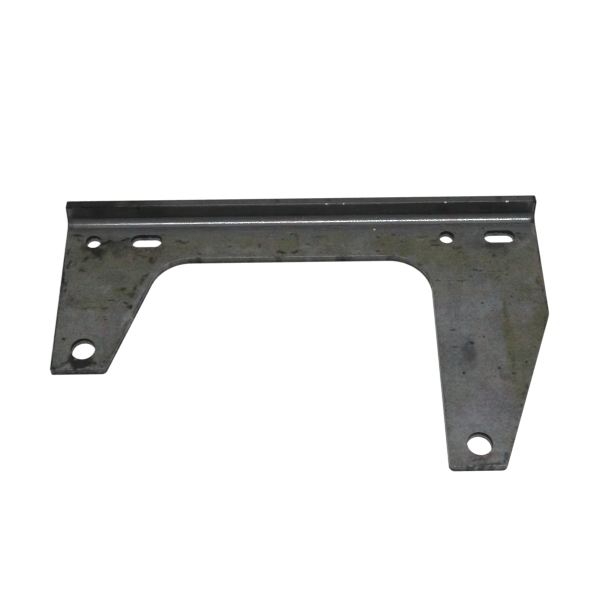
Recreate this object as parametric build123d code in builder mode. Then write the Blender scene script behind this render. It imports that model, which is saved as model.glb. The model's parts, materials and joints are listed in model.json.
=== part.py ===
from build123d import *
import os
from math import atan2, cos, radians, sin

# Stamped steel bracket, blanked from hot-rolled plate and bent once in a press.
# A cross plate carries a stiffening flange along its far edge and two unequal legs.
# X runs along the bend, Y from the bolt row towards the flange, Z up out of the plate.
# The origin is midway between the row's two round holes, on the plate's underside.
# All lengths are in millimetres and all angles in degrees.

# Sheet and bend
plate_thickness = 5.0
bend_radius = 5.0
bend_start = 9.2
flange_lean = 12.5
flange_height = 17.0
flange_corner_radius = 1.2

# Outline of the blank
left_end = 115.5
right_end = 151.6
left_leg_reach = 84.7
left_leg_splay = 1.4
left_foot_width = 29.0
right_leg_reach = 145.1
right_leg_inner_edge = 89.4
right_foot_width = 29.1
right_shoulder_reach = 53.3
shoulder_radius = 10.0
foot_corner_radius = 3.0
splayed_corner_radius = 1.2

# Bay between the legs
bay_edge = 12.8
bay_top_left = 60.6
bay_radius = 23.0

# Bolt row beside the bend
row_hole_spacing = 200.0
row_hole_diameter = 8.4
slot_offset = 30.0
slot_width = 8.4
slot_length = 17.4

# Foot holes
foot_hole_diameter = 13.0
foot_hole_edge = 13.2

# Rolled edges that the punch leaves on the side it came from
outline_rollover = 0.5
hole_rollover = 0.3

# Side section: the plate's inner skin, its bend and the upright face of the flange
bend_angle = 90.0 - flange_lean
bend_rise = bend_radius * (1 - cos(radians(bend_angle)))
flange_straight = (flange_height - plate_thickness - bend_rise) / sin(radians(bend_angle))

# Feet of the legs, left and right
left_foot_outer = (-left_end - left_leg_splay, -left_leg_reach)
left_foot_inner = (left_foot_outer[0] + left_foot_width, -left_leg_reach)
right_foot_inner = (right_leg_inner_edge, -right_leg_reach)
right_foot_outer = (right_leg_inner_edge + right_foot_width, -right_leg_reach)

# Upper corners that the slanting edges run to
left_bend_corner = (-left_end, bend_start)
bay_left_corner = (-bay_top_left, -bay_edge)
bay_right_corner = (right_leg_inner_edge, -bay_edge)
right_shoulder = (right_end, -right_shoulder_reach)


def edge_at(foot, top, y):
    """X and lean of a leg's edge, from its foot to its top, where it crosses height y."""
    across = top[0] - foot[0]
    along = top[1] - foot[1]
    return foot[0] + across * (y - foot[1]) / along, atan2(across, along)


def between_edges(left_edge, right_edge, y):
    """Point at height y that lies as far from one edge of a leg as from the other."""
    left_x, left_angle = edge_at(*left_edge, y)
    right_x, right_angle = edge_at(*right_edge, y)
    left_share = cos(left_angle)
    right_share = cos(right_angle)
    return (left_x * left_share + right_x * right_share) / (left_share + right_share), y


left_foot_hole = between_edges(
    (left_foot_outer, left_bend_corner),
    (left_foot_inner, bay_left_corner),
    foot_hole_edge - left_leg_reach,
)
right_foot_hole = between_edges(
    (right_foot_inner, bay_right_corner),
    (right_foot_outer, right_shoulder),
    foot_hole_edge - right_leg_reach,
)
round_row_holes = [(-row_hole_spacing / 2, 0), (row_hole_spacing / 2, 0)]
row_slots = [(x + slot_offset, y) for x, y in round_row_holes]

with BuildPart() as bracket:
    # The bent sheet, as one section along the whole bend
    with BuildSketch(Plane.YZ.offset(-left_end - left_leg_splay)) as side_section:
        with BuildLine():
            skin = Line((-right_leg_reach, plate_thickness), (bend_start, plate_thickness))
            bend = JernArc(skin @ 1, skin % 1, bend_radius, bend_angle)
            PolarLine(bend @ 1, flange_straight, direction=bend % 1)
            offset(amount=plate_thickness, side=Side.RIGHT)
        make_face()
    extrude(amount=left_end + left_leg_splay + right_end)
    flange_back = bracket.part.bounding_box().max.Y

    # The blank's outline, seen from above, trims the bent sheet
    with BuildSketch() as outline:
        with BuildLine():
            FilletPolyline(
                (-left_end, flange_back),
                left_bend_corner,
                left_foot_outer,
                left_foot_inner,
                bay_left_corner,
                bay_right_corner,
                right_foot_inner,
                right_foot_outer,
                right_shoulder,
                (right_end, flange_back),
                radius=[
                    0,
                    0,
                    splayed_corner_radius,
                    foot_corner_radius,
                    bay_radius,
                    bay_radius,
                    foot_corner_radius,
                    foot_corner_radius,
                    shoulder_radius,
                    0,
                ],
                close=True,
            )
        make_face()
    extrude(amount=flange_height, mode=Mode.INTERSECT)

    # Rounded upper corners of the flange
    flange_rim = bracket.faces().filter_by(GeomType.PLANE).sort_by(Axis.Z)[-1]
    fillet(flange_rim.edges().sort_by(SortBy.LENGTH)[:2], flange_corner_radius)

    # Rolled edge all round the punch side: plate, inside of the bend and flange face
    plate_top = bracket.faces().filter_by(Plane.XY).sort_by(Axis.Z)[-1]
    bend_faces = bracket.faces().filter_by(GeomType.CYLINDER).filter_by(
        lambda face: face.axis_of_rotation.is_parallel(Axis.X)
    )
    bend_inside = bend_faces.sort_by(lambda face: face.radius)[0]
    bend_lines = bend_inside.edges().filter_by(Axis.X)
    flange_face = bracket.faces().filter_by(
        lambda face: any(line in face.edges() for line in bend_lines)
    ).filter_by(GeomType.PLANE).sort_by(Axis.Z)[-1]
    punch_side = plate_top.edges() + bend_inside.edges() + flange_face.edges()
    fillet(punch_side.filter_by(lambda edge: edge not in bend_lines), outline_rollover)

    # Bolt row: two round holes and two slots, then the larger hole in each foot
    with Locations(*[(x, y, plate_thickness) for x, y in round_row_holes]):
        Hole(row_hole_diameter / 2, depth=plate_thickness)
    with BuildSketch():
        with Locations(*row_slots):
            SlotOverall(slot_length, slot_width)
    extrude(amount=plate_thickness, mode=Mode.SUBTRACT)
    with Locations(*[(x, y, plate_thickness) for x, y in (left_foot_hole, right_foot_hole)]):
        Hole(foot_hole_diameter / 2, depth=plate_thickness)
    punched_top = bracket.faces().filter_by(Plane.XY).sort_by(Axis.Z)[-1]
    for rim in punched_top.inner_wires():
        fillet(rim.edges(), hole_rollover)

bracket.part.label = "bracket"
os.makedirs("parts", exist_ok=True)
export_step(bracket.part, "parts/bracket.step")
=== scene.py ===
"""Studio scene of a stamped steel bracket, cut from hot-rolled plate and bent once.

The plate's surface is worked out on the flat blank: two skins and, round the outline and every
hole, an edge as a press leaves it. The whole is then rolled round the bend. The finish is oiled
mill scale, with stains that lie where the real bracket has them, and some patches of painted
shade and sheen; the holes' upper walls carry painted shade too.
"""

import json
import logging
import math
from dataclasses import dataclass, field
from enum import Enum
from typing import Any, Dict, List, Optional, Sequence, Tuple, Union

import bpy
import numpy as np
from mathutils import Matrix, Vector
from mathutils.geometry import delaunay_2d_cdt

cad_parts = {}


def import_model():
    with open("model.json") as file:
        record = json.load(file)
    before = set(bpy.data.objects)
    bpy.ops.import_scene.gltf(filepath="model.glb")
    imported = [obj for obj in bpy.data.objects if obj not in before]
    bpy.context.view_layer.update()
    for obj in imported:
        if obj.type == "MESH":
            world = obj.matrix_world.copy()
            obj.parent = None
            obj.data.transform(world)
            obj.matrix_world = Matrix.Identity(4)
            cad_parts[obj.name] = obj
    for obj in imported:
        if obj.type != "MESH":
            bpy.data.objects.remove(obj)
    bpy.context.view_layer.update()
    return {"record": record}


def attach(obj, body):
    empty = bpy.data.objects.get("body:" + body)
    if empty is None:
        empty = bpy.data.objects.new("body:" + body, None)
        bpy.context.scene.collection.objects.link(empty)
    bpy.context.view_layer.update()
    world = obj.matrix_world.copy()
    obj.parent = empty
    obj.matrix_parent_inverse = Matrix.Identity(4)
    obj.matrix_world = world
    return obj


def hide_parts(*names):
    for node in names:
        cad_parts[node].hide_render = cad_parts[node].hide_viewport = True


LOG = logging.getLogger("bracket")
MM = 0.001
NODE = "bracket"
BODY = "root"
SLOT = "mill_steel"
PLATE = "bracket_plate"
# The cut edge's marks: how much of a point is wall and torn band, and how much painted shade it
# takes
EDGE_MARKS = ("wall", "torn", "grime")
WHITE = (1.0, 1.0, 1.0, 1.0)

# How far a stain's rim wanders: a share of its smaller half length, within limits in millimetres
SWAY_SHARE = 0.4
LEAST_SWAY = 0.15
MOST_SWAY = 1.6

# Where a stain ends, in half lengths
STAIN_END = 1.5

# The noise that moves a stain's rim: its seed, its wavelengths in millimetres and its phases
SWAY_SEED = 5
SWAY_WAVES = (3.5, 13.0)
SWAY_PHASES = (0.0, 6.0)

# Ripples of an edge: how many noises a loop may have, and how far wavelengths are spread
LOOP_NOISES = 1000
RIPPLE_SPREAD = (0.6, 1.8)

# The way that a seed moves a noise of the finish
SEED_WAY = (1.0, 0.37, 0.61)

# The fewest steps round half a hole
HALF_STEPS = 12

# How many points are tested at a time, and how near two points of a skin may come
BATCH = 2000
LEAST_GAP = 1e-7

Colour = Tuple[float, float, float]


class Tone(Enum):
    """What a stain on the plate consists of, which is also the name of its mesh attribute."""

    # Some dark patches are painted shade, and some bare and rubbed ones painted sheen
    OIL = "oil"
    DARK = "dark"
    # Bare steel, and on the long leg partly a painted sheen
    BARE_AND_SHEEN = "bare"
    RUST = "rust"
    FILM = "film"
    # Rubbed steel, and along the foot of the bend a painted sheen
    RUBBED_AND_SHEEN = "rubbed"
    CHIP = "chip"


class Skin(Enum):
    """The plate's two faces."""

    PUNCH = "punch"
    DIE = "die"


@dataclass(frozen=True)
class Stain:
    """A patch on the flat blank, in millimetres, whose rim the finish breaks up.

    Its centre is (x, y), its half lengths are along and across, and turn is in degrees. Sway is
    how freely its rim wanders.
    """

    tone: Tone
    x: float
    y: float
    along: float
    across: float
    turn: float = 0.0
    strength: float = 1.0
    sway: float = 1.0

    def spread(self, places: np.ndarray, noise: np.ndarray) -> np.ndarray:
        """Strength of the patch at points of the blank.

        It is full up to half the ellipse, half at its rim and nothing from one and a half on. The
        points are first moved by the noise, the further the wider the patch is, so that its rim
        is no plain ellipse.

        Args:
            places: Points of the unrolled inner skin, in metres.
            noise: Smooth noise of size 1 in both directions, for each point.

        Returns:
            One value for each point, from 0 to the patch's strength.
        """
        reach = SWAY_SHARE * min(self.along, self.across)
        reach = self.sway * min(max(reach, LEAST_SWAY), MOST_SWAY)
        away = places / MM + reach * noise - [self.x, self.y]
        angle = math.radians(self.turn)
        cosine, sine = math.cos(angle), math.sin(angle)
        turned = away @ np.array([[cosine, -sine], [sine, cosine]])
        distance = np.linalg.norm(turned / [self.along, self.across], axis=1)
        return self.strength * np.clip(STAIN_END - distance, 0.0, 1.0)


def patches(tone: Tone, *rows: Tuple[float, ...]) -> List[Stain]:
    """Stains of one tone, one for each row.

    Args:
        tone: What the stains consist of.
        rows: For each stain its x, y, along and across, and turn, strength and sway if they
            aren't the usual ones.

    Returns:
        The stains.
    """
    return [Stain(tone, *row) for row in rows]


def rim_noise(places: np.ndarray, sines: int = 14) -> np.ndarray:
    """Smooth noise over the blank in two directions, each about 1 in size.

    Each is a sum of sines across the blank in seeded directions.

    Args:
        places: Points of the unrolled skin, in metres.
        sines: How many sines each direction gets.

    Returns:
        One pair of values for each point.
    """
    random = np.random.default_rng(SWAY_SEED)
    shifts = []
    for _ in range(2):
        ways = random.uniform(0, 2 * math.pi, sines)
        turns = 2 * math.pi / (random.uniform(*SWAY_WAVES, sines) * MM)
        phases = random.uniform(*SWAY_PHASES, sines)
        across = places @ np.array([np.cos(ways), np.sin(ways)])
        waves = np.sin(across * turns + phases)
        shifts.append(math.sqrt(2 / sines) * waves.sum(axis=1))
    return np.column_stack(shifts)


@dataclass(frozen=True)
class BentSheet:
    """The sheet's section: a flat plate, one bend and a straight flange that leans back.

    The blank is measured by x along the bend, by along, which runs across the bend and is
    stretched within it so that rows of points lie closer there, and by rise from the die skin.
    """

    thickness: float
    bend_radius: float = 5.0 * MM
    bend_start: float = 9.2 * MM
    flange_lean: float = math.radians(12.5)
    flange_height: float = 17.0 * MM
    bend_stretch: float = 2.4

    @property
    def bend_angle(self) -> float:
        """Angle that the flange is turned up by."""
        return math.pi / 2 - self.flange_lean

    @property
    def bend_length(self) -> float:
        """Stretched length of the bend."""
        return self.bend_angle * self.bend_radius * self.bend_stretch

    @property
    def reach(self) -> float:
        """Stretched place of the flange's free edge."""
        rise = self.bend_radius * (1 - math.cos(self.bend_angle))
        straight = (self.flange_height - self.thickness - rise) / math.sin(self.bend_angle)
        return self.bend_start + self.bend_length + straight

    def angle(self, along: np.ndarray) -> np.ndarray:
        """Angle of the bend at places of the blank."""
        past = np.clip(along - self.bend_start, 0.0, self.bend_length)
        return past / (self.bend_radius * self.bend_stretch)

    def unstretched(self, along: np.ndarray) -> np.ndarray:
        """True length across the bend, on the inner skin, at places of the blank."""
        past = np.clip(along - self.bend_start, 0.0, self.bend_length)
        return along - past * (1 - 1 / self.bend_stretch)

    def roll(self, x: np.ndarray, along: np.ndarray, rise: np.ndarray) -> np.ndarray:
        """Rolls points of the blank round the bend.

        A point of the plate stays where it is. In the bend it lies on a circle about the bend's
        axis, whose radius is the outer one less its rise, and beyond the bend it goes straight
        on along the flange.

        Args:
            x: Places along the bend.
            along: Stretched places across the bend.
            rise: Heights over the die skin.

        Returns:
            One point in space for each row.
        """
        outer = self.thickness + self.bend_radius
        angle = self.angle(along)
        straight = np.maximum(along - self.bend_start - self.bend_length, 0.0)
        radius = outer - rise
        flat = np.minimum(along, self.bend_start)
        y = flat + radius * np.sin(angle) + straight * np.cos(angle)
        z = outer - radius * np.cos(angle) + straight * np.sin(angle)
        return np.column_stack([x, y, z])


@dataclass(frozen=True)
class Corner:
    """A corner of an outline on the blank, with the radius that rounds it."""

    x: float
    along: float
    radius: float = 0.0


@dataclass(frozen=True)
class Ripple:
    """Noise along an edge: how strong it is, how long its waves are and which draw it is."""

    strength: float
    wavelength: float
    part: int


@dataclass(frozen=True)
class CutEdge:
    """The edge that a press leaves: rolled in at the punch skin, burnished, then torn.

    The tear's depth and the lip's go into the metal, or out of it where they are negative, and
    then no further than the tear limit times the depth. The torn rows are shares of the torn
    band's height. The lip's wall and tear say how much it still looks like each of them.
    """

    rollover: float
    rollover_change: float = 0.22
    rollover_ripples: Tuple[Ripple, ...] = (Ripple(0.6, 9 * MM, 1), Ripple(0.4, 3 * MM, 2))
    burnished_share: float = 0.45
    break_ripples: Tuple[Ripple, ...] = (Ripple(0.10, 14 * MM, 3), Ripple(0.06, 4 * MM, 4))
    tear_depth: float = 0.020 * MM
    tear_change: float = 0.025 * MM
    tear_limit: float = 2.0
    tear_ripples: Tuple[Ripple, ...] = (Ripple(0.6, 2.4 * MM, 10), Ripple(0.6, 6 * MM, 20))
    torn_rows: Tuple[float, ...] = (0.95, 0.68, 0.40, 0.15)
    raggedness: float = 1.0
    # Painted shade on the roll and the burnished band, for the walls of holes
    grime: float = 0.0
    lip: float = 0.04 * MM
    lip_wall: float = 0.5
    lip_tear: float = 0.4
    arc_columns: int = 6
    blend_columns: int = 3


@dataclass(frozen=True)
class Loop:
    """A closed line of stations on the blank, with the material on its left."""

    points: np.ndarray
    edge: CutEdge
    seed: int

    @property
    def inward(self) -> np.ndarray:
        """Unit directions into the material: the mean way of both neighbours, turned left."""
        ahead = np.roll(self.points, -1, axis=0) - self.points
        ahead /= np.linalg.norm(ahead, axis=1)[:, None]
        mean = ahead + np.roll(ahead, 1, axis=0)
        mean /= np.linalg.norm(mean, axis=1)[:, None]
        return np.column_stack([-mean[:, 1], mean[:, 0]])

    @property
    def way(self) -> Tuple[np.ndarray, float]:
        """Length from the first station to each station, and round the whole loop."""
        steps = np.linalg.norm(np.roll(self.points, -1, axis=0) - self.points, axis=1)
        return np.concatenate([[0.0], np.cumsum(steps)[:-1]]), float(steps.sum())

    def ripple(self, wavelength: float, part: int, sines: int = 6) -> np.ndarray:
        """Smooth closed noise along the loop, mostly between -1 and 1.

        It is a sum of sines that each fit the loop a whole number of times, with wavelengths
        spread about the one asked for and seeded phases.

        Args:
            wavelength: Mean wavelength, in metres.
            part: Which of the loop's noises this is.
            sines: How many sines are added.

        Returns:
            One value for each station.
        """
        random = np.random.default_rng(LOOP_NOISES * self.seed + part)
        way, total = self.way
        wavelengths = wavelength * random.uniform(*RIPPLE_SPREAD, sines)
        turns = np.maximum(1, np.round(total / wavelengths))
        phases = random.uniform(0, 2 * math.pi, sines)
        waves = np.sin(2 * math.pi * way[:, None] / total * turns + phases)
        return waves.sum(axis=1) / math.sqrt(sines)

    def rippled(self, ripples: Sequence[Ripple], row: int = 0) -> np.ndarray:
        """Ripples added up at each station, drawn anew for each row of the edge."""
        return sum(
            each.strength * self.ripple(each.wavelength, each.part + row) for each in ripples
        )


def rounded_loop(corners: Sequence[Corner], step: float, arc_share: float = 0.6) -> np.ndarray:
    """Stations along a polygon whose corners are rounded by tangent arcs.

    An arc starts and ends at its radius times the tangent of half the turn from the corner, and
    its stations lie on a circle about the point that is a radius off its start.

    Args:
        corners: The polygon's corners in order.
        step: Largest distance between stations.
        arc_share: How much of that distance an arc's stations may have.

    Returns:
        The stations, without repeating the first.
    """
    places = np.array([[corner.x, corner.along] for corner in corners])
    before = places - np.roll(places, 1, axis=0)
    before /= np.linalg.norm(before, axis=1)[:, None]
    after = np.roll(before, -1, axis=0)
    turns = np.arctan2(
        before[:, 0] * after[:, 1] - before[:, 1] * after[:, 0], (before * after).sum(axis=1)
    )
    radii = np.array([corner.radius for corner in corners])
    cuts = radii * np.abs(np.tan(turns / 2))
    starts = places - before * cuts[:, None]
    ends = places + after * cuts[:, None]
    stations = []
    for index, (turn, radius) in enumerate(zip(turns, radii)):
        count = max(2, math.ceil(abs(turn) * radius / (arc_share * step))) if radius else 1
        swept = np.linspace(0, turn, count + 1)[:, None] if radius else np.zeros((1, 1))
        side = np.array([-before[index, 1], before[index, 0]]) * math.copysign(radius, turn)
        centre = starts[index] + side
        ahead = before[index] * radius * np.abs(np.sin(swept))
        stations.append(centre - side * np.cos(swept) + ahead)
        target = starts[(index + 1) % len(corners)]
        run = target - ends[index]
        count = max(1, math.ceil(np.linalg.norm(run) / step))
        stations.append(ends[index] + run * np.linspace(0, 1, count + 1)[1:-1, None])
    return np.concatenate(stations)


def slot_loop(x: float, along: float, length: float, width: float, step: float) -> np.ndarray:
    """Stations round a hole or slot, clockwise, so that the metal is on the left.

    A point at angle a lies on a circle of the slot's half width, and the two half circles are
    moved apart by the rest of its length.

    Args:
        x: Place of the middle along the bend.
        along: Place of the middle across the bend.
        length: Overall length, which is the width for a round hole.
        width: Width, or diameter.
        step: Largest distance between stations on the round ends.

    Returns:
        The stations, without repeating the first.
    """
    radius = width / 2
    apart = (length - width) / 2
    half = max(HALF_STEPS, math.ceil(math.pi * radius / step))
    angles = np.linspace(math.pi / 2, -math.pi / 2, half + 1)
    right = np.column_stack([apart + radius * np.cos(angles), radius * np.sin(angles)])
    runs = max(1, math.ceil(2 * apart / step))
    lower = np.linspace(right[-1], right[-1] * [-1, 1], runs + 1)[1:-1]
    left = -right
    upper = np.linspace(left[-1], left[-1] * [-1, 1], runs + 1)[1:-1]
    pieces = [right, lower, left, upper] if apart else [right, left[1:-1]]
    return np.concatenate(pieces) + [x, along]


def inside(points: np.ndarray, loops: Sequence[np.ndarray]) -> np.ndarray:
    """Tells which points lie inside loops.

    A point is inside where a ray from it along x crosses the loops an odd number of times.

    Args:
        points: Points on the blank.
        loops: Closed lines on the blank.

    Returns:
        One truth value for each point.
    """
    start = np.concatenate(loops)
    end = np.concatenate([np.roll(loop, -1, axis=0) for loop in loops])
    run = end - start
    slope = run[:, 0] / np.where(run[:, 1] == 0, 1.0, run[:, 1])
    found = []
    for part in np.array_split(points, max(1, len(points) // BATCH)):
        height = part[:, 1, None]
        spans = (start[:, 1] > height) != (end[:, 1] > height)
        meets = start[:, 0] + (height - start[:, 1]) * slope
        found.append((spans & (part[:, 0, None] < meets)).sum(axis=1) % 2 == 1)
    return np.concatenate(found)


def clear_of(points: np.ndarray, stations: np.ndarray, gap: float) -> np.ndarray:
    """Tells which points lie further than a gap from every station.

    Args:
        points: Points on the blank.
        stations: Stations on the blank.
        gap: The distance to keep.

    Returns:
        One truth value for each point.
    """
    found = []
    for part in np.array_split(points, max(1, len(points) // BATCH)):
        apart = ((part[:, None, :] - stations[None, :, :]) ** 2).sum(axis=2).min(axis=1)
        found.append(apart > gap * gap)
    return np.concatenate(found)


@dataclass
class BracketPlate:
    """The bracket: a cross plate with a flange, and two unequal legs.

    The rim clearance is how far, in cells, the points of a skin keep from its rims.
    """

    record: Dict[str, Any]
    left_end: float = 115.5 * MM
    right_end: float = 151.6 * MM
    left_reach: float = 84.7 * MM
    left_splay: float = 1.4 * MM
    left_foot_width: float = 29.0 * MM
    right_reach: float = 145.1 * MM
    right_inner_edge: float = 89.4 * MM
    right_foot_width: float = 29.1 * MM
    right_shoulder_reach: float = 53.3 * MM
    shoulder_radius: float = 10.0 * MM
    foot_radius: float = 3.0 * MM
    sharp_radius: float = 1.2 * MM
    bay_edge: float = 12.8 * MM
    bay_left: float = 60.6 * MM
    bay_radius: float = 23.0 * MM
    outline_edge: CutEdge = CutEdge(rollover=0.5 * MM)
    hole_edge: CutEdge = CutEdge(
        rollover=0.2 * MM,
        burnished_share=0.5,
        tear_depth=-0.09 * MM,
        raggedness=0.35,
        # Painted shade darkens the upper walls of the holes
        grime=1.0,
        lip=-0.12 * MM,
    )
    punch_cell: float = 0.85 * MM
    die_cell: float = 1.2 * MM
    station_step: float = 0.85 * MM
    hole_step_share: float = 0.7
    rim_clearance: float = 0.62
    flange_trim: float = 0.035 * MM
    end_draw: float = 0.3 * MM
    end_draw_width: float = 4.0 * MM
    sharp_angle: float = math.radians(38)
    stains: Dict[Skin, List[Stain]] = field(default_factory=dict)

    def mount(self, name: str) -> Dict[str, Any]:
        """The record's mount of that name."""
        return next(mount for mount in self.record["mounts"] if mount["name"] == name)

    @property
    def sheet(self) -> BentSheet:
        """The sheet's section, as thick as the record says."""
        return BentSheet(thickness=self.mount("plate_top")["pos_m"][2])

    def outline(self) -> Loop:
        """The blank's outline, anticlockwise from the flange's left corner.

        The flange is trimmed a little, so that its rolled edge ripples below its full height.

        Returns:
            The outline with its cut edge.
        """
        reach = self.sheet.reach - self.flange_trim
        left_foot = -self.left_end - self.left_splay
        right_foot = self.right_inner_edge + self.right_foot_width
        corners = [
            Corner(-self.left_end, reach, self.sharp_radius),
            Corner(-self.left_end, self.sheet.bend_start),
            Corner(left_foot, -self.left_reach, self.sharp_radius),
            Corner(left_foot + self.left_foot_width, -self.left_reach, self.foot_radius),
            Corner(-self.bay_left, -self.bay_edge, self.bay_radius),
            Corner(self.right_inner_edge, -self.bay_edge, self.bay_radius),
            Corner(self.right_inner_edge, -self.right_reach, self.foot_radius),
            Corner(right_foot, -self.right_reach, self.foot_radius),
            Corner(self.right_end, -self.right_shoulder_reach, self.shoulder_radius),
            Corner(self.right_end, reach, self.sharp_radius),
        ]
        return Loop(rounded_loop(corners, self.station_step), self.outline_edge, seed=1)

    def holes(self) -> List[Loop]:
        """The bolt row's holes and slots and the foot holes, where the record has them.

        Returns:
            The holes with their cut edges.
        """
        found = []
        for name in ("row_holes", "row_slots"):
            mount = self.mount(name)
            sizes = mount["dims"]
            width = 2 * sizes["hole_r_mm"] * MM
            length = sizes.get("slot_length_mm", width / MM) * MM
            for side in (-0.5, 0.5):
                x = mount["pos_m"][0] + side * sizes["spacing_x_mm"] * MM
                found.append((x, mount["pos_m"][1], length, width))
        for name in ("left_foot_hole", "right_foot_hole"):
            mount = self.mount(name)
            width = 2 * mount["dims"]["r_mm"] * MM
            found.append((mount["pos_m"][0], mount["pos_m"][1], width, width))
        step = self.hole_step_share * self.station_step
        return [
            Loop(slot_loop(*place, step), self.hole_edge, seed)
            for seed, place in enumerate(found, start=2)
        ]

    def rim(self, loop: Loop) -> Tuple[np.ndarray, np.ndarray]:
        """The cut edge, as a profile carried along a loop.

        The profile starts on the punch skin. A quarter circle rolls it in, then it runs straight
        down the burnished band, steps back where the metal tore, and wanders down the torn band
        to a small lip at the die skin. The roll, the break and the torn band ripple on the way.

        Args:
            loop: The stations and the kind of edge.

        Returns:
            A grid of blank points, one row for each station and one column for each point of the
            profile, and for each of them how much it belongs to the wall and to the torn band,
            and how much painted shade it takes, which only the upper walls of holes do.
        """
        edge = loop.edge
        thickness = self.sheet.thickness
        roll = edge.rollover * (1 + edge.rollover_change * loop.rippled(edge.rollover_ripples))
        roll = roll[:, None]
        turn = np.linspace(0, math.pi / 2, edge.arc_columns)
        depths = [roll * (1 - np.sin(turn))]
        rises = [thickness - roll * (1 - np.cos(turn))]
        broken = thickness * (1 - edge.burnished_share) * (1 + loop.rippled(edge.break_ripples))
        broken = broken[:, None]
        depths.append(np.zeros((len(roll), 2)))
        rises.append(np.hstack([(thickness - roll + broken) / 2, broken]))
        least = min(edge.tear_limit * edge.tear_depth, 0.0)
        for row, share in enumerate(edge.torn_rows):
            tear = edge.tear_depth + edge.tear_change * loop.rippled(edge.tear_ripples, row)
            depths.append(np.maximum(tear, least)[:, None])
            rises.append(broken * share)
        depths.append(np.repeat(depths[-1], 2, axis=1) + [0.0, edge.lip])
        rises.append(np.tile([abs(edge.lip), 0.0], (len(roll), 1)))
        depth = np.hstack(depths)
        rise = np.hstack(rises)
        places = loop.points[:, None, :] + loop.inward[:, None, :] * depth[:, :, None]
        grid = np.concatenate([places, rise[:, :, None]], axis=2)
        column = np.arange(depth.shape[1])
        wall = np.clip((column - 1) / edge.blend_columns, 0, 1)
        wall[-1] = edge.lip_wall
        below = (column >= edge.arc_columns + 2).astype(float)
        torn = edge.raggedness * below
        torn[-1] *= edge.lip_tear
        # Painted shade on the roll and the burnished band, none on the torn band
        grime = edge.grime * np.clip(column / edge.blend_columns, 0, 1) * (1 - below)
        kinds = np.broadcast_to(np.column_stack([wall, torn, grime]), (*depth.shape, 3))
        return grid, kinds

    def lattice(self, cell: float) -> np.ndarray:
        """Rows of points over the blank's box, each row moved half a cell from its neighbours.

        Args:
            cell: Distance between neighbours.

        Returns:
            The points, on and off the plate.
        """
        row_step = cell * math.sqrt(3) / 2
        low_x, high_x = -self.left_end - self.left_splay, self.right_end
        rows = np.arange(-self.right_reach, self.sheet.reach, row_step)
        places = np.arange(low_x, high_x, cell)
        x, along = np.meshgrid(places, rows)
        x = x + np.where(np.arange(len(rows)) % 2, cell / 2, 0.0)[:, None]
        return np.column_stack([x.ravel(), along.ravel()])

    def fill(self, rings: Sequence[np.ndarray], cell: float) -> Tuple[np.ndarray, np.ndarray]:
        """Triangles of one skin between its rings, through the lattice points inside them.

        Args:
            rings: The innermost line of each rim on this skin, the outline first.
            cell: Distance between the lattice points.

        Returns:
            The lattice points that are used, and the triangles, whose corners number the rings'
            points first and the used lattice points after them.
        """
        stations = np.concatenate(rings)
        lattice = self.lattice(cell)
        used = lattice[inside(lattice, rings)]
        used = used[clear_of(used, stations, self.rim_clearance * cell)]
        edges = []
        first = 0
        for ring in rings:
            order = np.arange(len(ring))
            edges.append(np.column_stack([order, np.roll(order, -1)]) + first)
            first += len(ring)
        points = np.concatenate([stations, used])
        _, _, faces, origins, _, _ = delaunay_2d_cdt(
            [Vector(point) for point in points.tolist()],
            np.concatenate(edges).tolist(),
            [],
            1,
            LEAST_GAP,
        )
        origin = np.array([sources[0] for sources in origins])
        triangles = origin[np.array([list(face) for face in faces])]
        on_rim = (triangles < len(stations)).all(axis=1)
        middles = points[triangles[on_rim]].mean(axis=1)
        kept = np.ones(len(triangles), bool)
        kept[on_rim] = inside(middles, rings)
        return used, triangles[kept]

    def drawn_in(self, x: np.ndarray, along: np.ndarray, rise: np.ndarray) -> np.ndarray:
        """Narrows the outer skin of the bend at both ends, where bending stretches it.

        The shift grows as the squared sine through the bend, from nothing at the inner skin to
        its full size at the outer one, and dies away from the end as a bell curve.

        Args:
            x: Places along the bend.
            along: Stretched places across the bend.
            rise: Heights over the die skin.

        Returns:
            The places along the bend after the shift.
        """
        sheet = self.sheet
        through = np.sin(math.pi * sheet.angle(along) / sheet.bend_angle) ** 2
        outer = 1 - rise / sheet.thickness
        left = np.exp(-(((x + self.left_end) / self.end_draw_width) ** 2))
        right = np.exp(-(((x - self.right_end) / self.end_draw_width) ** 2))
        return x + self.end_draw * through * outer * (left - right)

    def surface(self) -> Tuple[np.ndarray, np.ndarray, np.ndarray, np.ndarray]:
        """The whole closed surface on the blank.

        Returns:
            The blank's points as x, along and rise, their shares of wall, torn band and painted
            hole shade, the quads of the rims and the triangles of both skins.
        """
        loops = [self.outline(), *self.holes()]
        rims = [self.rim(loop) for loop in loops]
        points, kinds, quads = [], [], []
        first = 0
        heads, tails = [], []
        for grid, kind in rims:
            rows, columns = grid.shape[:2]
            number = first + np.arange(rows * columns).reshape(rows, columns)
            ahead = np.roll(number, -1, axis=0)
            quads.append(
                np.stack(
                    [number[:, :-1], number[:, 1:], ahead[:, 1:], ahead[:, :-1]], axis=2
                ).reshape(-1, 4)
            )
            points.append(grid.reshape(-1, 3))
            kinds.append(kind.reshape(-1, 3))
            heads.append((grid[:, 0, :2], number[:, 0]))
            tails.append((grid[:, -1, :2], number[:, -1]))
            first += rows * columns
        triangles = []
        skins = (
            (heads, self.punch_cell, self.sheet.thickness, False),
            (tails, self.die_cell, 0.0, True),
        )
        for rings, cell, rise, turned in skins:
            used, faces = self.fill([ring for ring, _ in rings], cell)
            numbers = [*(number for _, number in rings), first + np.arange(len(used))]
            faces = np.concatenate(numbers)[faces]
            triangles.append(faces[:, ::-1] if turned else faces)
            points.append(np.column_stack([used, np.full(len(used), rise)]))
            kinds.append(np.zeros((len(used), 3)))
            first += len(used)
        return (
            np.concatenate(points),
            np.concatenate(kinds),
            np.concatenate(quads),
            np.concatenate(triangles),
        )

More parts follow.
